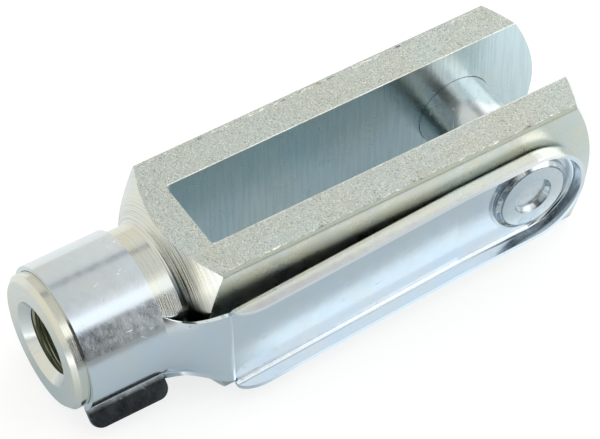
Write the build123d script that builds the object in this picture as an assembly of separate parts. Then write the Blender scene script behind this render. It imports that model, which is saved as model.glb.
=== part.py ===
from build123d import *
from math import cos, radians, sin, sqrt, tan
import os

# Clevis rod end, size 10 x 40: a fork turned and milled from square bar, and a
# spring clip whose riveted pin closes the fork. All lengths are in millimetres.
# Origin: centre of the neck's end face. +X runs along the fork to its ears, Y is
# the pin's direction with the clip on the -Y side, +Z is up out of the slot.

# Fork
square_width = 20.0           # across the flats of the bar
top_edge_radius = 0.2         # long edges of the bar beside the upper face
bottom_edge_radius = 1.0      # long edges beside the lower face
end_reach = 11.9              # pin axis to the turned end, before the slot is milled
end_face_diameter = 8.3       # flat at the turned end, all of it inside the slot
end_cone_angle = 27.8         # of the turned end's chord, from a plane across the bar
end_crown = 0.4               # how far the turned end bows out from its chord
slot_width = 10.3
slot_depth = 40.0             # pin axis to slot root
slot_root_past_neck = 5.0     # where the shoulder starts to the slot's root
slot_root_radius = 0.6
neck_diameter = 16.8
neck_length = 15.0            # end face to where the shoulder starts
neck_chamfer = 0.6
neck_root_bevel = 0.4         # turned corner between neck and shoulder
shoulder_angle = 31.5         # of the shoulder's cone, from a plane across the bar
thread_core_diameter = 8.5    # wall of the M10 hole, which runs through to the slot
countersink_diameter = 10.7   # at the neck's end, 90 degrees
bore_edge_chamfer = 0.3       # outer edges of the pin's bores

# Clevis pin
pin_diameter = 10.0
pin_bore_gap = 0.05           # radial running gap in the ears
pin_far_overhang = 1.6        # past the ear that faces away from the clip
pin_end_chamfer = 0.8
rivet_shank_diameter = 7.0    # reduced end that passes through the clip
rivet_hole_gap = 0.02         # radial
rivet_rim_diameter = 11.0     # thin rim that the riveting spreads on the sheet
rivet_rim_height = 0.22
rivet_step_diameter = 10.2
rivet_step_height = 0.25
rivet_top_diameter = 8.9
rivet_height = 0.95           # whole head above the sheet
rivet_recess_diameter = 5.2
rivet_recess_floor = 4.4      # diameter of the recess's flat bottom
rivet_recess_depth = 0.7

# Spring clip
sheet = 0.55                  # thickness of the strip
side_gap = 0.06               # between the arm and the side of the fork
arm_half_width = 5.8          # arm centre line to where the flanges start to bend
arm_flush_length = 10.0       # pin axis to where the arm starts to stand off the fork
arm_flare = 2.0               # degrees that it then stands off, towards the neck
arm_drop = 1.1                # degrees that it falls towards the neck
bend_radius = 0.6             # inside of the flanges' bend
flange_straight = 1.2         # flange beyond its bend
tray_past_slot = 1.5          # slot root to the neck end of the flanges
flange_corner_length = 3.6    # free corners of the flanges are cut to an ellipse
relief_radius = 0.3           # round nick where the lower flange's bend ends
ring_gap = 0.05               # radial, between ring and neck
ring_to_shoulder = 3.2        # ring to where the shoulder starts
ring_width = 10.1
ring_wrap = 40.0              # degrees that each side reaches below the neck's middle
lip_length = 2.6              # straight part of the flared lips
lip_angle = 45.0              # of the lips, below the horizontal
lip_bend_radius = 0.45        # middle of the sheet, between ring and lip
lip_corner_radius = 1.4
strap_angle = 27.5            # where the strap's upper edge leaves the ring
strap_lip_length = 0.55       # how far the strap's lower edge is down the lip
strap_length = 5.7            # from the ring to where the strap is flat
strap_flat_length = 1.0       # from there to the tray
strap_top = 5.3               # edges of the flat there, from the fork's axis
strap_bottom = 6.2
strap_waist = 3.4             # half of its flattened width where it leaves the ring
strap_corner_angle = 5.5      # how much wider the upper edge starts, at the ring
strap_bend_share = 0.2        # of its length that is bent at each end
strap_parts = 3               # equal parts between the sections of its loft

# Worked out from the sizes above
half_square = square_width / 2
neck_radius = neck_diameter / 2
pin_radius = pin_diameter / 2
bore_radius = pin_radius + pin_bore_gap
slot_root = neck_length + slot_root_past_neck
pin_reach = slot_root + slot_depth
bar_length = pin_reach + end_reach
far = 4 * square_width        # longer than any cut needs
arm_back = half_square + side_gap
arm_front = arm_back + sheet
back_bend_radius = bend_radius + sheet
ring_inner = neck_radius + ring_gap
ring_outer = ring_inner + sheet
ring_end = neck_length - ring_to_shoulder
ring_start = ring_end - ring_width
tray_length = slot_depth + tray_past_slot
flare = tan(radians(arm_flare)) * (tray_length - arm_flush_length)
flange_rim = arm_front + bend_radius + flange_straight
flat_drop = (pin_reach - ring_end - strap_length) * tan(radians(arm_drop))


def turned(points, axis):
    """Solid of revolution about an axis in the XY plane."""
    return revolve(make_face(Polyline(*points, close=True)), axis)


# ---- Fork ----

def square_bar():
    section = Rectangle(square_width, square_width)
    lower = section.vertices().sort_by(Axis.Y)[:2]
    upper = section.vertices().sort_by(Axis.Y)[2:]
    section = fillet(lower, bottom_edge_radius)
    upper = [section.vertices().sort_by_distance(corner)[0] for corner in upper]
    section = fillet(upper, top_edge_radius)
    return extrude(Plane.YZ * section, bar_length)


def turned_envelope():
    """What the lathe leaves of the bar: neck, shoulder cone and end cone."""
    beyond_corner = half_square * sqrt(2) + 1
    end_radius = end_face_diameter / 2
    shoulder_rise = (beyond_corner - neck_radius) * tan(radians(shoulder_angle))
    end_fall = (beyond_corner - end_radius) * tan(radians(end_cone_angle))
    outer = (bar_length - end_fall, beyond_corner)
    profile = make_face([
        Polyline(
            (bar_length, end_radius),
            (bar_length, 0),
            (0, 0),
            (0, neck_radius),
            (neck_length, neck_radius),
            (neck_length + shoulder_rise, beyond_corner),
            outer,
        ),
        SagittaArc(outer, (bar_length, end_radius), end_crown),
    ])
    corners = profile.vertices().filter_by(lambda corner: abs(corner.Y - neck_radius) < 1e-6)
    end_corner, root_corner = corners.sort_by(Axis.X)
    profile = chamfer(end_corner, neck_chamfer)
    root_corner = profile.vertices().sort_by_distance(root_corner)[0]
    return revolve(chamfer(root_corner, neck_root_bevel), Axis.X)


def threaded_hole():
    """Core of the M10 thread through to the slot, with its countersink."""
    core = thread_core_diameter / 2
    mouth = countersink_diameter / 2
    return turned([
        (-1, 0),
        (-1, mouth + 1),
        (mouth - core, core),
        (slot_root + 1, core),
        (slot_root + 1, 0),
    ], Axis.X)


def slot():
    block = Pos(slot_root + far / 2, 0, 0) * Box(far, slot_width, far)
    root_edges = block.edges().filter_by(Axis.Z).sort_by(Axis.X)[:2]
    return fillet(root_edges, slot_root_radius)


def pin_bores():
    """One bore through both ears, with its outer edges broken."""
    mouth = half_square - bore_edge_chamfer
    wide = bore_radius + bore_edge_chamfer + 1
    return Pos(pin_reach, 0, 0) * turned([
        (0, -half_square - 1),
        (wide, -half_square - 1),
        (bore_radius, -mouth),
        (bore_radius, mouth),
        (wide, half_square + 1),
        (0, half_square + 1),
    ], Axis.Y)


def make_fork():
    body = square_bar() & turned_envelope()
    return body - slot() - threaded_hole() - pin_bores()


# ---- Clevis pin ----

def make_clevis_pin():
    """Shank with a chamfered far end, and the stepped head riveted on the clip."""
    tail = half_square + pin_far_overhang
    rim = arm_front + rivet_rim_height
    step = rim + rivet_step_height
    top = arm_front + rivet_height
    recess = top - rivet_recess_depth
    return Pos(pin_reach, 0, 0) * turned([
        (0, tail),
        (pin_radius - pin_end_chamfer, tail),
        (pin_radius, tail - pin_end_chamfer),
        (pin_radius, -arm_back),
        (rivet_shank_diameter / 2, -arm_back),
        (rivet_shank_diameter / 2, -arm_front),
        (rivet_rim_diameter / 2, -arm_front),
        (rivet_rim_diameter / 2, -rim),
        (rivet_step_diameter / 2, -rim),
        (rivet_step_diameter / 2, -step),
        (rivet_top_diameter / 2, -top),
        (rivet_recess_diameter / 2, -top),
        (rivet_recess_floor / 2, -recess),
        (0, -recess),
    ], Axis.Y)


# ---- Spring clip ----

def in_arm_frame(shape):
    """Move a shape drawn level about the pin to the arm's place."""
    return Pos(pin_reach, 0, 0) * Rot(0, -arm_drop, 0) * shape


def flared(shape):
    """Turn a shape drawn level about the pin out from the fork, at the arm's knee."""
    to_knee = Pos(arm_flush_length, arm_back, 0)
    return to_knee.inverse() * Rot(0, 0, arm_flare) * to_knee * shape


def half_section():
    """Half of the tray's section: distance from its centre line, depth outwards."""
    back = arm_half_width + back_bend_radius
    bend = (arm_half_width, arm_back + back_bend_radius)
    return make_face([
        Line((0, arm_front), (0, arm_back)),
        Line((0, arm_back), (arm_half_width, arm_back)),
        CenterArc(bend, back_bend_radius, 270, 90),
        Line((back, bend[1]), (back, flange_rim)),
        Line((back, flange_rim), (back - sheet, flange_rim)),
        Line((back - sheet, flange_rim), (back - sheet, bend[1])),
        CenterArc(bend, bend_radius, 0, -90),
        Line((arm_half_width, arm_front), (0, arm_front)),
    ])


def tray_blank():
    """Tray drawn level and flush, with the fork's round end about the pin."""
    neck_end = Plane(origin=(-tray_length, 0, 0), x_dir=(0, 0, 1), z_dir=(1, 0, 0))
    upper = extrude(neck_end * half_section(), tray_length)
    at_pin = upper.faces().sort_by(Axis.X)[-1]
    return upper + mirror(upper, Plane.XY), revolve(at_pin, Axis.Y, 180)


def flange_corners():
    """Waste outside the ellipse that ends the flanges at the neck."""
    depth = flange_rim - arm_front
    to_corner = (Align.MAX, Align.MAX)
    waste = Rectangle(flange_corner_length, depth, align=to_corner)
    waste -= Ellipse(flange_corner_length, depth)
    waste = Pos(flange_corner_length - tray_length, -arm_front) * waste
    return extrude(waste, far, both=True)


def tray():
    level, round_end = tray_blank()
    half_flare = radians(arm_flare / 2)
    knee = Plane((-arm_flush_length, -arm_back, 0), z_dir=(cos(half_flare), sin(half_flare), 0))
    flush = split(level, knee, Keep.TOP) + round_end
    rivet_hole = rivet_shank_diameter / 2 + rivet_hole_gap
    flush -= Rot(90, 0, 0) * Cylinder(rivet_hole, far)
    nick = Pos(-tray_length, 0, -arm_half_width) * Rot(90, 0, 0) * Cylinder(relief_radius, far)
    reach = flared(level - flange_corners() - nick)
    return in_arm_frame(flush + split(reach, knee, Keep.BOTTOM))


def collar_lines(radius):
    """One face of the collar from its crown down the +Y side: ring, bend and lip."""
    middle = (ring_inner + ring_outer) / 2
    wrap = radians(ring_wrap)
    reach = middle + lip_bend_radius
    centre = (reach * cos(wrap), -reach * sin(wrap))
    turn = 90 - lip_angle + ring_wrap
    bend = CenterArc(centre, lip_bend_radius + middle - radius, 180 - ring_wrap, turn)
    lip = PolarLine(bend @ 1, lip_length, -lip_angle)
    return CenterArc((0, 0), radius, 90, -90 - ring_wrap), bend, lip


def ring():
    """Open collar that snaps over the neck, with a flared lip at each end."""
    inner = collar_lines(ring_inner)
    outer = collar_lines(ring_outer)
    crown = Line((0, ring_inner), (0, ring_outer))
    lip_end = Line(inner[-1] @ 1, outer[-1] @ 1)
    half = make_face([*inner, *outer, crown, lip_end])
    collar = extrude(Plane.YZ.offset(ring_start) * (half + mirror(half, Plane.YZ)), ring_width)
    corners = collar.edges().filter_by(lambda edge: abs(edge.length - sheet) < 1e-4)
    return fillet(corners.sort_by(lambda edge: edge.center().Z)[:4], lip_corner_radius)


def strap_line(radius, flat, edges, start_angle, share):
    """One face of the strap's cross-section, between the collar's curve and the flat."""
    curve, bend, lip = collar_lines(radius)
    start = (90 - start_angle) / (90 + ring_wrap)
    pieces = ((curve, start, 1), (bend, 0, 1), (lip, 0, strap_lip_length / lip_length))
    total = sum((last - first) * line.length for line, first, last in pieces)
    lines = []
    done = 0
    for line, first, last in pieces:
        points = []
        for place in (first, (first + last) / 2, last):
            along = done + (place - first) * line.length
            on_flat = Vector(-flat, edges[0] - (edges[0] + edges[1]) * along / total)
            on_collar = line @ place
            points.append(Vector(-on_collar.X, on_collar.Y) * (1 - share) + on_flat * share)
        straight = share == 1 or line is lip
        lines.append(Line(points[0], points[2]) if straight else ThreePointArc(*points))
        done = along
    return lines


def strap_face(out, edges, start_angle, share):
    """Cross-section of the strap: share 0 is the collar's curve, share 1 is flat."""
    inner = strap_line(ring_inner, arm_back + out, edges, start_angle, share)
    outer = strap_line(ring_outer, arm_front + out, edges, start_angle, share)
    ends = [Line(inner[0] @ 0, outer[0] @ 0), Line(inner[-1] @ 1, outer[-1] @ 1)]
    return make_face([*inner, *outer, *ends])


def strap_section(step):
    """Cross-section between the ring (step 0) and the flat (step 1)."""
    soft = strap_bend_share
    share = (step - soft / 2) / (1 - soft)
    if step < soft:
        share = step * step / (2 * soft * (1 - soft))
    if step > 1 - soft:
        share = 1 - (1 - step) ** 2 / (2 * soft * (1 - soft))
    start_angle = strap_angle + strap_corner_angle * max(0, 1 - step / soft) ** 3
    edges = [strap_waist + (edge - strap_waist) * step for edge in (strap_top, strap_bottom)]
    section = strap_face(flare, edges, start_angle, share)
    return Plane.YZ.offset(ring_end + step * strap_length) * section


def flat_section(before_tray, edges):
    """Cross-section of the flat at the tray's end, square to the arm."""
    section = strap_face(0, edges, strap_angle, 1)
    return in_arm_frame(flared(Plane.YZ.offset(-tray_length - before_tray) * section))


def strap():
    """Blend that carries the ring's curve out to the flat of the tray."""
    return loft([
        *[strap_section(part / strap_parts) for part in range(strap_parts)],
        flat_section(strap_flat_length, (strap_top + flat_drop, strap_bottom - flat_drop)),
        flat_section(0, (arm_half_width, arm_half_width)),
    ])


nodes = {
    "fork": make_fork(),
    "clevis_pin": make_clevis_pin(),
    "spring_clip": ring() + strap() + tray(),
}
os.makedirs("parts", exist_ok=True)
for name, shape in nodes.items():
    export_step(shape, f"parts/{name}.step")
    print(name, len(shape.solids()), "solid, volume", round(shape.volume, 1))
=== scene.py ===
from math import cos, hypot, pi, radians, sin

import bmesh
import bpy
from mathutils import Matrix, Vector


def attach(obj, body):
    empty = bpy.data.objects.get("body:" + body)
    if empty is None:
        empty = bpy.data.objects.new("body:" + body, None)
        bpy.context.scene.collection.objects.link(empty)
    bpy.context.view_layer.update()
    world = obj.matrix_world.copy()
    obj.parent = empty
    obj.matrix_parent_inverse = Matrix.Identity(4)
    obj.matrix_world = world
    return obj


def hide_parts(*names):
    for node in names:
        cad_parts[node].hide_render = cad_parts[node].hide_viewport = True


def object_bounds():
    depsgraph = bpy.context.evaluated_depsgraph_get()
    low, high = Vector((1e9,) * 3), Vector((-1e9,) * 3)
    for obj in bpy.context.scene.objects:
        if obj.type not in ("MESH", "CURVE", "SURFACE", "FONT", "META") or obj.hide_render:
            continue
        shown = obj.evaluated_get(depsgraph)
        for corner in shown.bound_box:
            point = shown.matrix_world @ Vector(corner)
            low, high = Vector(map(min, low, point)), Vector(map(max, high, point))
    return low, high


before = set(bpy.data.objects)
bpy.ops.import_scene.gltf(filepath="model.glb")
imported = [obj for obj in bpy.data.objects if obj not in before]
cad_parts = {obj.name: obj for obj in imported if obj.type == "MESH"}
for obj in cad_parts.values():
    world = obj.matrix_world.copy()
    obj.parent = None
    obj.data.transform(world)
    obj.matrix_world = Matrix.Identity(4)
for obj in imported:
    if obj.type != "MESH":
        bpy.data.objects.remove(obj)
cadBox = [list(corner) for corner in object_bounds()]
print("frame loaded:", sorted(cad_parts))

perMetre = 1000     # the looks below are in millimetres


# helpers

def addNode(tree, kind, inputs=None, **settings):
    # inputs gives each socket, by name or number, a value or the socket that feeds it
    node = tree.nodes.new(kind)
    for name, value in settings.items():
        setattr(node, name, value)
    for name, value in (inputs or {}).items():
        if isinstance(value, bpy.types.NodeSocket):
            tree.links.new(value, node.inputs[name])
        else:
            node.inputs[name].default_value = value
    return node


def maths(tree, operation, *values):
    return addNode(tree, "ShaderNodeMath", dict(enumerate(values)), operation=operation).outputs[0]


def blendColours(tree, factor, first, second):
    # the Mix node's colours are its sockets 6 and 7
    return addNode(tree, "ShaderNodeMix", {0: factor, 6: first, 7: second}, data_type="RGBA").outputs[2]


def rescale(tree, value, fromLow, fromHigh, toLow, toHigh):
    return addNode(tree, "ShaderNodeMapRange", {
        "Value": value, "From Min": fromLow, "From Max": fromHigh, "To Min": toLow, "To Max": toHigh,
    }).outputs[0]


def rising(tree, value, edge, full=1):
    return rescale(tree, value, *edge, 0, full)


def falling(tree, value, edge, full=1):
    return rescale(tree, value, *edge, full, 0)


def both(tree, *masks):
    share = masks[0]
    for mask in masks[1:]:
        share = maths(tree, "MULTIPLY", share, mask)
    return share


def insideZone(tree, parts, zone):
    # 1 past every "from" edge and short of every "to" edge; an edge's two numbers are where it blends
    share = 1.0
    for side, edge in zone.items():
        if side.startswith(("from", "to")):
            mask = rising if side.startswith("from") else falling
            share = maths(tree, "MULTIPLY", share, mask(tree, parts[side[-1]], edge))
    return share


def paintZones(tree, parts, colour, zones):
    # each zone lies over the ones before it
    for zone in zones:
        colour = blendColours(tree, insideZone(tree, parts, zone), colour, zone["colour"])
    return colour


def distance(tree, first, second):
    squares = [maths(tree, "MULTIPLY", part, part) for part in (first, second)]
    return maths(tree, "SQRT", maths(tree, "ADD", *squares))


def inMillimetres(tree):
    place = addNode(tree, "ShaderNodeTexCoord").outputs["Object"]
    scale = (perMetre, perMetre, perMetre)
    return addNode(tree, "ShaderNodeVectorMath", {0: place, 1: scale}, operation="MULTIPLY").outputs[0]


def separate(tree, vector):
    return addNode(tree, "ShaderNodeSeparateXYZ", {0: vector}).outputs


def startGroup(name, inputs, outputs):
    group = bpy.data.node_groups.new(name, "ShaderNodeTree")
    for direction, sockets in (("INPUT", inputs), ("OUTPUT", outputs)):
        for socket in sockets:
            group.interface.new_socket(socket, in_out=direction, socket_type="NodeSocketFloat")
    return group, group.nodes.new("NodeGroupInput").outputs, group.nodes.new("NodeGroupOutput").inputs


def useGroup(tree, group, inputs):
    return addNode(tree, "ShaderNodeGroup", inputs, node_tree=group).outputs


# shared surface effects, all in millimetres on the part itself

effects = {
    "noiseMiddle": 0.5, "noiseRoughness": 0.5,
    "skinRoughness": 0.6, "grainDetail": 2.0, "cloudDetail": 3.0, "cloudEdge": (0.3, 0.7),
    "tintWidth": 2.7,      # in clouds
    "tintShift": 7.0, "tintDetail": 2.0, "tintEdge": (0.35, 0.65),
    "lineDetail": 3.0, "lineRoughness": 0.65,
    "patchScale": 1.7,      # patches of scratches, against the scratches' own
    "patchShift": 3.0, "patchDetail": 1.0, "patchBlend": 0.04,
    "bandCore": 0.4,      # the share of a band's half width that is full
}


def addNoise(tree, vector, scale, shift, detail, roughness=effects["noiseRoughness"]):
    return addNode(tree, "ShaderNodeTexNoise", {
        "Vector": vector, "W": shift, "Scale": scale, "Detail": detail, "Roughness": roughness,
    }, noise_dimensions="4D").outputs["Fac"]


def makePlatingGroup():
    # fine grain of the plated skin, soft clouds a few millimetres wide, and wider tints
    group, given, result = startGroup(
        "platedSkin", ["Grain Size", "Cloud Size", "Shift"], ["Grain", "Clouds", "Tint"])
    place = inMillimetres(group)
    tintSize = maths(group, "MULTIPLY", given["Cloud Size"], effects["tintWidth"])
    tintShift = maths(group, "ADD", given["Shift"], effects["tintShift"])
    for output, size, shift, detail, roughness in (
        ("Grain", given["Grain Size"], given["Shift"], effects["grainDetail"], effects["skinRoughness"]),
        ("Clouds", given["Cloud Size"], given["Shift"], effects["cloudDetail"], effects["skinRoughness"]),
        ("Tint", tintSize, tintShift, effects["tintDetail"], effects["noiseRoughness"]),
    ):
        scale = maths(group, "DIVIDE", 1.0, size)
        group.links.new(addNoise(group, place, scale, shift, detail, roughness), result[output])
    return group


def makeToolLinesGroup():
    # lines that a tool leaves side by side along one direction
    group, given, result = startGroup("toolLines", ["Along", "Across", "Spacing", "Stretch"], ["Lines"])
    x = maths(group, "DIVIDE", given["Along"], given["Spacing"])
    y = maths(group, "DIVIDE", given["Across"], given["Stretch"])
    noise = addNode(group, "ShaderNodeTexNoise", {
        "Vector": addNode(group, "ShaderNodeCombineXYZ", {"X": x, "Y": y}).outputs[0],
        "Scale": 1.0, "Detail": effects["lineDetail"], "Roughness": effects["lineRoughness"],
    }, noise_dimensions="2D")
    group.links.new(noise.outputs["Fac"], result["Lines"])
    return group


def makeScratchesGroup():
    # short thin curved scratches, in patches
    group, given, result = startGroup("scratches", ["Size", "Width", "Shift", "Share"], ["Scratches"])
    place = inMillimetres(group)
    scale = maths(group, "DIVIDE", 1.0, given["Size"])
    line = addNoise(group, place, scale, given["Shift"], 0.0)
    line = maths(group, "ABSOLUTE", maths(group, "SUBTRACT", line, effects["noiseMiddle"]))
    line = falling(group, line, (0.0, given["Width"]))
    patch = addNoise(group, place, maths(group, "MULTIPLY", scale, effects["patchScale"]),
                     maths(group, "ADD", given["Shift"], effects["patchShift"]), effects["patchDetail"])
    bare = maths(group, "SUBTRACT", 1.0, given["Share"])
    patch = rising(group, patch, (bare, maths(group, "ADD", bare, effects["patchBlend"])))
    group.links.new(maths(group, "MULTIPLY", line, patch), result["Scratches"])
    return group


platedSkin = makePlatingGroup()
toolLines = makeToolLinesGroup()
scratches = makeScratchesGroup()
print("effects ready")


def drawLines(tree, along, across, spacing, stretch):
    inputs = {"Along": along, "Across": across, "Spacing": spacing, "Stretch": stretch}
    return useGroup(tree, toolLines, inputs)["Lines"]


def band(tree, value, centre, width):
    # 1 on a line at centre, falling to 0 at width on each side
    aside = maths(tree, "ABSOLUTE", maths(tree, "SUBTRACT", value, centre))
    return falling(tree, aside, (width * effects["bandCore"], width))


def startMetal(name, look):
    # plated metal with its skin, its two tints and its roughness already in place
    material = bpy.data.materials.new(name)
    material.use_nodes = True
    tree = material.node_tree
    skin = useGroup(tree, platedSkin, {
        "Grain Size": look["grainSize"], "Cloud Size": look["cloudSize"], "Shift": look["shift"],
    })
    colour = blendColours(tree, rising(tree, skin["Tint"], effects["tintEdge"]), look["warm"], look["cool"])
    roughness = rescale(tree, skin["Clouds"], *effects["cloudEdge"], *look["roughness"])
    return material, tree, skin, colour, roughness


def finishMetal(material, colour, roughness, heights):
    # heights holds pairs of a height and its depth
    tree = material.node_tree
    shader = tree.nodes["Principled BSDF"]
    shader.inputs["Metallic"].default_value = 1.0
    tree.links.new(colour, shader.inputs["Base Color"])
    tree.links.new(roughness, shader.inputs["Roughness"])
    normal = None
    for height, depth in heights:
        inputs = {"Height": height, "Distance": depth / perMetre, "Strength": 1.0}
        if normal is not None:
            inputs["Normal"] = normal
        normal = addNode(tree, "ShaderNodeBump", inputs).outputs[0]
    tree.links.new(normal, shader.inputs["Normal"])
    return material


# fork

fork = {
    "bar": {
        "warm": (0.49, 0.505, 0.46, 1), "cool": (0.47, 0.52, 0.51, 1),
        "grainSize": 0.18, "cloudSize": 2.2, "shift": 1.0, "roughness": (0.34, 0.46),
        "grainDepth": 0.070, "cloudDepth": 0.03,
        "pit": (0.24, 0.25, 0.23, 1), "pitEdge": (0.30, 0.45),
        "speck": (0.66, 0.66, 0.61, 1), "speckEdge": (0.54, 0.66),
    },
    "wear": {
        # bright slivers and slot line: worn burrs with a painted highlight
        "wearAndHighlight": (0.90, 0.90, 0.85, 1), "nick": (0.16, 0.16, 0.15, 1), "roundingShade": (0.42, 0.44, 0.38, 1),
        "teeth": (0.95, 0.15), "runs": (4.75, 9.0),      # spacing and stretch of each
        "runShare": 0.9, "sliverEdge": (0.60, 0.68), "nickEdge": (0.30, 0.34), "wornRoughness": 0.6,
        "outerEdge": {"fromZ": (9.5, 9.75), "fromY": (9.28, 9.40), "toY": (9.60, 9.72)},
        # painted shade standing in for the rounding of the near outer edge
        "rolledEdge": {"fromZ": (9.5, 9.75), "toY": (-9.60, -9.45)},
        "slotEdge": {"fromZ": (9.5, 9.75), "fromX": (20.0, 20.3)},
        "slotLine": (5.15, 0.19),      # where it runs, and its half width
        "slotTeeth": (0.30, 0.55, 0.30, 1.0),
        "slotSides": (-0.1, 0.1, 0.45, 1.0),      # fainter on the near ear
    },
    "side": {
        "warm": (0.61, 0.61, 0.50, 1), "cool": (0.56, 0.60, 0.57, 1),
        "grainSize": 0.22, "cloudSize": 1.6, "shift": 2.0, "roughness": (0.24, 0.34),
        "grainDepth": 0.012, "cloudDepth": 0.03,
    },
    "slot": {
        "warm": (0.68, 0.72, 0.69, 1), "cool": (0.60, 0.71, 0.73, 1),
        "grainSize": 0.3, "cloudSize": 3.5, "shift": 3.0, "roughness": (0.20, 0.30),
        "grainDepth": 0.004, "lines": (0.45, 9.0), "lineDepth": 0.016,
        "shade": (0.36, 0.48, 0.53, 1), "shadeEdge": (0.38, 0.60), "shadeShare": 0.22,
    },
    "turned": {
        "warm": (0.72, 0.71, 0.62, 1), "cool": (0.68, 0.70, 0.70, 1), "grooveAndShade": (0.07, 0.075, 0.07, 1),
        "grainSize": 0.25, "cloudSize": 2.0, "shift": 4.0, "roughness": (0.12, 0.20),
        "grainDepth": 0.004, "lines": (0.13, 1.2), "lineDepth": 0.020, "neckShare": 0.30,
        "shoulder": {"fromX": (14.5, 15.1), "toX": (30, 31)},
        "root": {"fromX": (14.5, 15.1), "toX": (15.6, 17.0)},
        "grooveEdge": (0.36, 0.41), "grooveShare": (0.10, 0.25),      # on the neck and on the shoulder
        "streaksAndShade": (0.24, 2.2), "streakEdge": (0.44, 0.49),
        "streakSides": (-2.5, -0.5, 1, 0.2),      # faint on the far half
        "streakFront": (-7.0, -3.5), "streakLift": 0.09,      # more of them at the very front, as painted shade
        # painted shadow under the clip's strap
        "strapShadow": {"fromX": (14.5, 15.1), "toX": (15.9, 16.6), "toY": (-5.0, -3.0), "toZ": (5.0, 7.4)},
        "strapShadowShare": 0.9,
    },
    "thread": {
        "warm": (0.45, 0.45, 0.33, 1), "cool": (0.40, 0.44, 0.38, 1),
        "grainSize": 0.2, "cloudSize": 1.5, "shift": 5.0, "roughness": (0.25, 0.4), "grainDepth": 0.006,
        "pitch": 1.5, "crest": 0.25, "root": 0.125, "coreRadius": 4.25, "outerRadius": 5.0,
        "start": 1.1, "end": 20.0, "runOut": 0.35, "step": 0.15, "sides": 72,
    },
    # what tells the faces apart: the slot's root and half width, how far from its axis the bar's faces
    # lie, and how far a normal may lean along the bar or has to point up or down
    "faces": {
        "slotRoot": 19.9, "slotHalf": 5.2, "barReach": 9.9, "lean": 0.01, "upright": 0.3, "coreGap": 0.01,
    },
}


def makeForkBar():
    look = fork["bar"]
    material, tree, skin, colour, roughness = startMetal("forkBar", look)
    colour = blendColours(tree, falling(tree, skin["Grain"], look["pitEdge"]), colour, look["pit"])
    colour = blendColours(tree, rising(tree, skin["Grain"], look["speckEdge"]), colour, look["speck"])
    colour, roughness = edgeWearAndLight(tree, colour, roughness)
    return finishMetal(material, colour, roughness, [
        (skin["Clouds"], look["cloudDepth"]), (skin["Grain"], look["grainDepth"]),
    ])


def makeForkSide():
    look = fork["side"]
    material, tree, skin, colour, roughness = startMetal("forkSide", look)
    colour, roughness = edgeWearAndLight(tree, colour, roughness)
    return finishMetal(material, colour, roughness, [
        (skin["Clouds"], look["cloudDepth"]), (skin["Grain"], look["grainDepth"]),
    ])


def edgeWearAndLight(tree, colour, roughness):
    # bright jagged slivers, worn burrs with a painted highlight, and dark nicks on the long outer edges,
    # painted shade on a band along the near one where it rolls over, and a painted highlight as a thin bright
    # line along the slot
    look = fork["wear"]
    place = separate(tree, inMillimetres(tree))
    across = maths(tree, "ABSOLUTE", place["Y"])
    mirrored = {"X": place["X"], "Y": across, "Z": place["Z"]}
    teeth = drawLines(tree, place["X"], place["Y"], *look["teeth"])
    runs = drawLines(tree, place["X"], place["Y"], *look["runs"])
    runs = maths(tree, "SUBTRACT", runs, effects["noiseMiddle"])
    jagged = maths(tree, "ADD", teeth, maths(tree, "MULTIPLY", runs, look["runShare"]))
    edge = insideZone(tree, mirrored, look["outerEdge"])
    slivers = both(tree, edge, rising(tree, jagged, look["sliverEdge"]))
    nicks = both(tree, edge, falling(tree, jagged, look["nickEdge"]))
    slotEdge = both(
        tree, insideZone(tree, place, look["slotEdge"]), band(tree, across, *look["slotLine"]),
        rescale(tree, jagged, *look["slotTeeth"]), rescale(tree, place["Y"], *look["slotSides"]))
    # painted highlight on the edge slivers and along the slot
    bright = maths(tree, "MAXIMUM", slivers, slotEdge)
    # painted shade on the near edge's rounding
    roundingShade = insideZone(tree, place, look["rolledEdge"])
    for mask, paint in ((roundingShade, "roundingShade"), (bright, "wearAndHighlight"), (nicks, "nick")):
        colour = blendColours(tree, mask, colour, look[paint])
    smoother = rescale(tree, bright, 0, 1, 1.0, look["wornRoughness"])
    return colour, maths(tree, "MULTIPLY", roughness, smoother)


def makeForkSlot():
    look = fork["slot"]
    material, tree, skin, colour, roughness = startMetal("forkSlot", look)
    place = separate(tree, inMillimetres(tree))
    lines = drawLines(tree, maths(tree, "ADD", place["X"], place["Y"]), place["Z"], *look["lines"])
    shade = falling(tree, lines, look["shadeEdge"], look["shadeShare"])
    colour = blendColours(tree, shade, colour, look["shade"])
    return finishMetal(material, colour, roughness, [
        (lines, look["lineDepth"]), (skin["Grain"], look["grainDepth"]),
    ])


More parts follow.
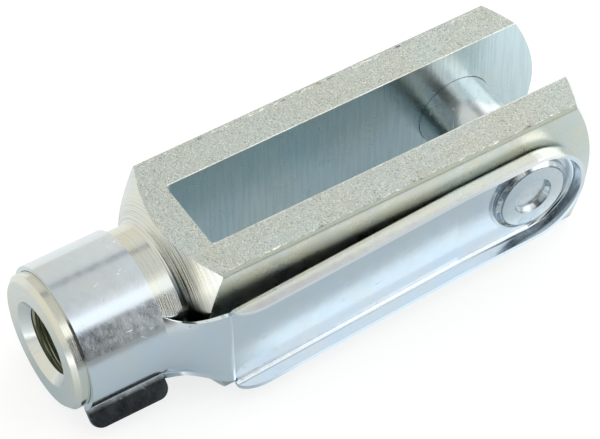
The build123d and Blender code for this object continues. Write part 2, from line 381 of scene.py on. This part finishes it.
def makeForkTurned():
    look = fork["turned"]
    material, tree, skin, colour, roughness = startMetal("forkTurned", look)
    place = separate(tree, inMillimetres(tree))
    angle = maths(tree, "ARCTAN2", place["Y"], place["Z"])
    along = maths(tree, "ADD", place["X"], distance(tree, place["Y"], place["Z"]))
    lines = drawLines(tree, along, angle, *look["lines"])
    shoulder = insideZone(tree, place, look["shoulder"])
    root = insideZone(tree, place, look["root"])
    groovesAndShade = both(
        tree, falling(tree, lines, look["grooveEdge"]), rescale(tree, shoulder, 0, 1, *look["grooveShare"]))
    # coarser tool streaks in the shoulder's root corner, partly painted shade, more of it towards the front
    streaksAndShade = drawLines(tree, along, angle, *look["streaksAndShade"])
    lift = falling(tree, place["Y"], look["streakFront"], look["streakLift"])
    streaksAndShade = falling(tree, maths(tree, "SUBTRACT", streaksAndShade, lift), look["streakEdge"])
    streaksAndShade = both(tree, root, streaksAndShade, rescale(tree, place["Y"], *look["streakSides"]))
    # painted shadow in the corner under the clip's strap
    strapShadow = maths(tree, "MULTIPLY", insideZone(tree, place, look["strapShadow"]), look["strapShadowShare"])
    for mask in (streaksAndShade, strapShadow):
        groovesAndShade = maths(tree, "MAXIMUM", groovesAndShade, mask)
    # tool grooves, plus painted shade in the shoulder's root and painted shadow under the strap
    colour = blendColours(tree, groovesAndShade, colour, look["grooveAndShade"])
    height = maths(tree, "MULTIPLY", lines, rescale(tree, root, 0, 1, look["neckShare"], 1.0))
    return finishMetal(material, colour, roughness, [
        (height, look["lineDepth"]), (skin["Grain"], look["grainDepth"]),
    ])


def makeForkThread():
    look = fork["thread"]
    material, tree, skin, colour, roughness = startMetal("forkThread", look)
    return finishMetal(material, colour, roughness, [(skin["Grain"], look["grainDepth"])])


forkFinishes = {
    "bar": makeForkBar, "side": makeForkSide, "slot": makeForkSlot, "turned": makeForkTurned,
    "thread": makeForkThread,
}


def forkFinish(centre, normal):
    # which of the fork's finishes a face takes, from where it lies and faces
    bounds = fork["faces"]
    if abs(centre.y) < bounds["slotHalf"] and centre.x > bounds["slotRoot"]:
        return "slot"
    if abs(normal.x) < bounds["lean"] and hypot(centre.y, centre.z) > bounds["barReach"]:
        return "bar" if abs(normal.z) > bounds["upright"] else "side"
    return "turned"


def threadDepth(turn):
    # share of the thread's depth at a place within one pitch: flat crest, flank, flat root, flank
    turn = turn % 1
    crest, root = fork["thread"]["crest"], fork["thread"]["root"]
    flank = (1 - crest - root) / 2
    if turn < crest:
        return 0
    if turn < crest + flank:
        return (turn - crest) / flank
    if turn < crest + flank + root:
        return 1
    return 1 - (turn - crest - flank - root) / flank


def addThread(mesh, materialIndex):
    look = fork["thread"]
    rings = round((look["end"] - look["start"]) / look["step"])
    rows = []
    for ring in range(rings + 1):
        x = look["start"] + (look["end"] - look["start"]) * ring / rings
        fade = max(0, min(1, (x - look["start"]) / look["runOut"], (look["end"] - x) / look["runOut"]))
        row = []
        for side in range(look["sides"]):
            angle = 2 * pi * side / look["sides"]
            depth = threadDepth(x / look["pitch"] - side / look["sides"]) * fade
            radius = look["coreRadius"] + depth * (look["outerRadius"] - look["coreRadius"])
            place = (x, radius * cos(angle), radius * sin(angle))
            row.append(mesh.verts.new([part / perMetre for part in place]))
        rows.append(row)
    for near, far in zip(rows, rows[1:]):
        for side in range(look["sides"]):
            after = (side + 1) % look["sides"]
            face = mesh.faces.new((near[side], far[side], far[after], near[after]))
            face.material_index = materialIndex
            face.smooth = True


def makeFork():
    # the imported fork's own faces, each with its finish, and a real thread in place of the plain core
    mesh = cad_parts["fork"].data.copy()
    mesh.materials.clear()
    for makeFinish in forkFinishes.values():
        mesh.materials.append(makeFinish())
    order = list(forkFinishes)
    core, bounds = fork["thread"]["coreRadius"], fork["faces"]
    work = bmesh.new()
    work.from_mesh(mesh)
    plainCore = []
    for face in work.faces:
        centre = face.calc_center_median() * perMetre
        face.material_index = order.index(forkFinish(centre, face.normal))
        gaps = [abs(hypot(vertex.co.y, vertex.co.z) * perMetre - core) for vertex in face.verts]
        if max(gaps) < bounds["coreGap"] and abs(face.normal.x) < bounds["lean"]:
            plainCore.append(face)
    bmesh.ops.delete(work, geom=plainCore, context="FACES")
    addThread(work, order.index("thread"))
    work.to_mesh(mesh)
    work.free()
    piece = bpy.data.objects.new("forkBody", mesh)
    bpy.context.scene.collection.objects.link(piece)
    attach(piece, "fork_body")
    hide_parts("fork")
    print("fork:", len(mesh.polygons), "faces")


# spring clip

clip = {
    "warm": (0.73, 0.76, 0.78, 1), "cool": (0.70, 0.76, 0.82, 1),
    "grainSize": 0.25, "cloudSize": 1.4, "shift": 8.0, "roughness": (0.13, 0.21),
    "grainDepth": 0.0025, "cloudDepth": 0.010,
    "zones": [
        # painted highlight on the upper flange's bend, and painted shade on the flared lips
        {"colour": (1.0, 0.98, 0.97, 1), "fromZ": (5.5, 6.0), "toY": (-10.95, -10.8), "fromX": (18.0, 19.0)},
        {"colour": (0.08, 0.09, 0.10, 1), "toZ": (-6.4, -6.0), "toX": (11.9, 12.1)},
    ],
    "ring": {"toX": (12.0, 14.5), "fromZ": (-6.5, -5.5)},
    "haze": 0.02, "hazeSize": 0.45, "hazeDetail": 3.0, "hazePatches": (0.35, 0.65, 0.1, 1),
    "scratch": {"Size": 1.6, "Width": 0.012, "Shift": 21.0, "Share": 0.34}, "scratchDepth": 0.02,
}


def makeClipMaterial():
    material, tree, skin, colour, roughness = startMetal("clipZinc", clip)
    place = separate(tree, inMillimetres(tree))
    # painted highlight on the upper flange's bend and painted shade on the flared lips
    colour = paintZones(tree, place, colour, clip["zones"])
    # the ring is rubbed duller, in mottled patches, where it slides over the neck's end
    rubbed = addNode(tree, "ShaderNodeTexNoise", {
        "Vector": inMillimetres(tree), "Scale": 1 / clip["hazeSize"], "Detail": clip["hazeDetail"],
    }).outputs["Fac"]
    haze = both(tree, insideZone(tree, place, clip["ring"]), rescale(tree, rubbed, *clip["hazePatches"]))
    roughness = maths(tree, "ADD", roughness, maths(tree, "MULTIPLY", haze, clip["haze"]))
    marks = useGroup(tree, scratches, clip["scratch"])["Scratches"]
    return finishMetal(material, colour, roughness, [
        (skin["Clouds"], clip["cloudDepth"]), (skin["Grain"], clip["grainDepth"]),
        (marks, clip["scratchDepth"]),
    ])


# clevis pin

pin = {
    "warm": (0.65, 0.67, 0.67, 1), "cool": (0.58, 0.64, 0.69, 1), "paintedShade": (0.10, 0.15, 0.19, 1),
    "grainSize": 0.3, "cloudSize": 1.8, "shift": 11.0, "roughness": (0.12, 0.30),
    "grainDepth": 0.005, "cloudDepth": 0.020, "axisX": 60.0, "head": {"toY": (-11.0, -10.8)},
    # painted shade in the head's steps, its groove and its recess: how uneven it is, its rings by radius,
    # half width and share, and its patches by radius
    "uneven": (0.55, 2.0), "unevenEdge": (0.35, 0.55), "least": 0.4,
    "rings": ((5.5, 0.09, 0.5), (5.08, 0.12, 0.8), (4.45, 0.14, 0.8), (2.55, 0.10, 0.6)),
    "patchFrom": (4.40, 4.50), "patchTo": (4.95, 5.05), "patchEdge": (0.56, 0.62), "patchShare": 0.8,
    "scratch": {"Size": 1.3, "Width": 0.014, "Shift": 31.0, "Share": 0.45}, "scratchDepth": 0.02,
}


def makePinMaterial():
    material, tree, skin, colour, roughness = startMetal("pinZinc", pin)
    place = separate(tree, inMillimetres(tree))
    aside = maths(tree, "SUBTRACT", place["X"], pin["axisX"])
    radius = distance(tree, aside, place["Z"])
    angle = maths(tree, "ARCTAN2", place["Z"], aside)
    uneven = drawLines(tree, angle, radius, *pin["uneven"])
    # painted shade in the rivet head's steps, groove and recess, in rings and uneven arcs
    paintedShade = both(
        tree, rising(tree, uneven, pin["patchEdge"], pin["patchShare"]),
        rising(tree, radius, pin["patchFrom"]), falling(tree, radius, pin["patchTo"]))
    for at, width, share in pin["rings"]:
        strength = rescale(tree, uneven, *pin["unevenEdge"], share * pin["least"], share)
        paintedShade = maths(tree, "MAXIMUM", paintedShade, both(tree, band(tree, radius, at, width), strength))
    paintedShade = both(tree, insideZone(tree, place, pin["head"]), paintedShade)
    colour = blendColours(tree, paintedShade, colour, pin["paintedShade"])
    marks = useGroup(tree, scratches, pin["scratch"])["Scratches"]
    return finishMetal(material, colour, roughness, [
        (skin["Clouds"], pin["cloudDepth"]), (skin["Grain"], pin["grainDepth"]),
        (marks, pin["scratchDepth"]),
    ])


makeFork()
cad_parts["spring_clip"].data.materials[0] = makeClipMaterial()
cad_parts["clevis_pin"].data.materials[0] = makePinMaterial()
print("pieces dressed")


# studio

floor = {
    "gap": 0.00002, "size": 3.0,      # in metres; the gap keeps the floor clear of the flat underside
    "paper": (0.30, 0.30, 0.30, 1), "roughness": 0.9, "seen": (0.77, 0.77, 0.77, 1),
    # what the metal sees of it, by place
    "near": (0.30, 0.37, 0.41, 1),
    "zones": [
        {"colour": (0.80, 0.95, 1.04, 1), "fromX": (20, 28), "fromY": (-17.6, -16.8), "toY": (-11, -9.5)},
        {"colour": (0.85, 0.90, 0.92, 1), "fromX": (60, 85)},
        {"colour": (0.70, 0.72, 0.70, 1), "toX": (-25, 0)},
        {"colour": (1.35, 1.35, 1.32, 1), "toX": (-52, -34)},
        {"colour": (0.70, 0.72, 0.70, 1), "fromY": (5, 30)},
    ],
    "frontFade": (-115, -65), "frontDark": 0.12,
}


def addFloor():
    mesh = bpy.data.meshes.new("floor")
    half = floor["size"] / 2
    corners = [(-half, -half, 0), (half, -half, 0), (half, half, 0), (-half, half, 0)]
    mesh.from_pydata(corners, [], [(0, 1, 2, 3)])
    sheet = bpy.data.objects.new("floor", mesh)
    sheet.location.z = cadBox[0][2] - floor["gap"]
    bpy.context.scene.collection.objects.link(sheet)
    material = bpy.data.materials.new("floorPaper")
    material.use_nodes = True
    tree = material.node_tree
    shader = tree.nodes["Principled BSDF"]
    shader.inputs["Base Color"].default_value = floor["paper"]
    shader.inputs["Roughness"].default_value = floor["roughness"]
    shader.inputs["Specular IOR Level"].default_value = 0.0
    place = separate(tree, inMillimetres(tree))
    glow = paintZones(tree, place, floor["near"], floor["zones"])
    fade = rescale(tree, place["Y"], *floor["frontFade"], floor["frontDark"], 1.0)
    rays = addNode(tree, "ShaderNodeLightPath").outputs
    glow = blendColours(tree, rays["Is Camera Ray"], glow, floor["seen"])
    tree.links.new(glow, shader.inputs["Emission Color"])
    strength = maths(tree, "MULTIPLY", rays["Is Glossy Ray"], fade)
    strength = maths(tree, "MAXIMUM", rays["Is Camera Ray"], strength)
    tree.links.new(strength, shader.inputs["Emission Strength"])
    # clear from below, so that the underside can be looked at
    clear = addNode(tree, "ShaderNodeBsdfTransparent").outputs[0]
    fromBelow = addNode(tree, "ShaderNodeNewGeometry").outputs["Backfacing"]
    sides = addNode(tree, "ShaderNodeMixShader", {0: fromBelow, 1: shader.outputs[0], 2: clear}).outputs[0]
    tree.links.new(sides, tree.nodes["Material Output"].inputs["Surface"])
    mesh.materials.append(material)


room = {
    "base": (0.70, 0.72, 0.71, 1), "seen": (1, 1, 1, 1),
    "leftToRight": (0.18, 0.56), "strength": (0.45, 2.35),      # brighter to the right
    # light by direction
    "zones": [
        {"colour": (0.84, 0.83, 0.77, 1), "fromY": (0.52, 0.80)},
        {"colour": (0.90, 0.92, 0.93, 1), "toY": (-0.35, -0.15), "fromZ": (0.60, 0.70)},
        {"colour": (1.15, 1.22, 1.26, 1), "toY": (-0.45, -0.35), "fromZ": (0.54, 0.64),
         "fromX": (0.28, 0.32)},
        {"colour": (0.62, 0.70, 0.73, 1), "toY": (-0.45, -0.35), "fromZ": (0.54, 0.64),
         "fromX": (0.33, 0.40)},
        {"colour": (0.42, 0.44, 0.46, 1), "fromY": (0.46, 0.52), "toY": (0.60, 0.66),
         "fromZ": (0.68, 0.72), "toX": (0.36, 0.44)},
        {"colour": (1.10, 1.13, 1.15, 1), "toY": (-0.70, -0.60), "fromX": (0.325, 0.355)},
        {"colour": (2.10, 2.10, 1.95, 1), "toX": (0.05, 0.25)},
        {"colour": (3.20, 3.30, 3.30, 1), "toY": (-0.45, -0.35), "fromZ": (0.64, 0.74),
         "fromX": (0.02, 0.12), "toX": (0.20, 0.28)},
        {"colour": (0.80, 1.00, 1.08, 1), "toY": (-0.45, -0.25), "toX": (-0.22, -0.02)},
        {"colour": (0.16, 0.15, 0.15, 1), "toY": (-0.45, -0.35), "fromZ": (0.62, 0.68),
         "fromX": (-0.60, -0.50), "toX": (-0.10, 0.00)},
        {"colour": (0.02, 0.022, 0.026, 1), "toY": (-0.68, -0.60), "toZ": (0.63, 0.71),
         "fromX": (0.14, 0.20), "toX": (0.31, 0.335)},
        {"colour": (0.02, 0.022, 0.026, 1), "toY": (-0.68, -0.60), "toZ": (0.63, 0.71),
         "toX": (-0.18, -0.12)},
    ],
}


def addRoom():
    world = bpy.data.worlds.new("room")
    bpy.context.scene.world = world
    world.use_nodes = True
    tree = world.node_tree
    parts = separate(tree, addNode(tree, "ShaderNodeTexCoord").outputs["Generated"])
    colour = paintZones(tree, parts, room["base"], room["zones"])
    strength = rescale(tree, parts["X"], *room["leftToRight"], *room["strength"])
    seen = addNode(tree, "ShaderNodeLightPath").outputs["Is Camera Ray"]
    colour = blendColours(tree, seen, colour, room["seen"])
    strength = maths(tree, "ADD", maths(tree, "MULTIPLY", strength, maths(tree, "SUBTRACT", 1.0, seen)), seen)
    background = tree.nodes["Background"]
    tree.links.new(colour, background.inputs["Color"])
    tree.links.new(strength, background.inputs["Strength"])


view = {
    "place": (-0.0969097, -0.2126868, 0.2852350), "turn": (41.26952, 0.38205, -32.20463),
    "lens": 194.135, "sensor": 36.0, "clipStart": 0.01,
}


def addCamera():
    camera = bpy.data.objects.new("camera", bpy.data.cameras.new("camera"))
    bpy.context.scene.collection.objects.link(camera)
    camera.location = view["place"]
    camera.rotation_euler = [radians(turn) for turn in view["turn"]]
    camera.data.lens = view["lens"]
    camera.data.sensor_width = view["sensor"]
    camera.data.sensor_fit = "HORIZONTAL"
    camera.data.clip_start = view["clipStart"]
    bpy.context.scene.camera = camera


addFloor()
addRoom()
addCamera()
bpy.context.scene.view_settings.view_transform = "Standard"
print("studio ready")
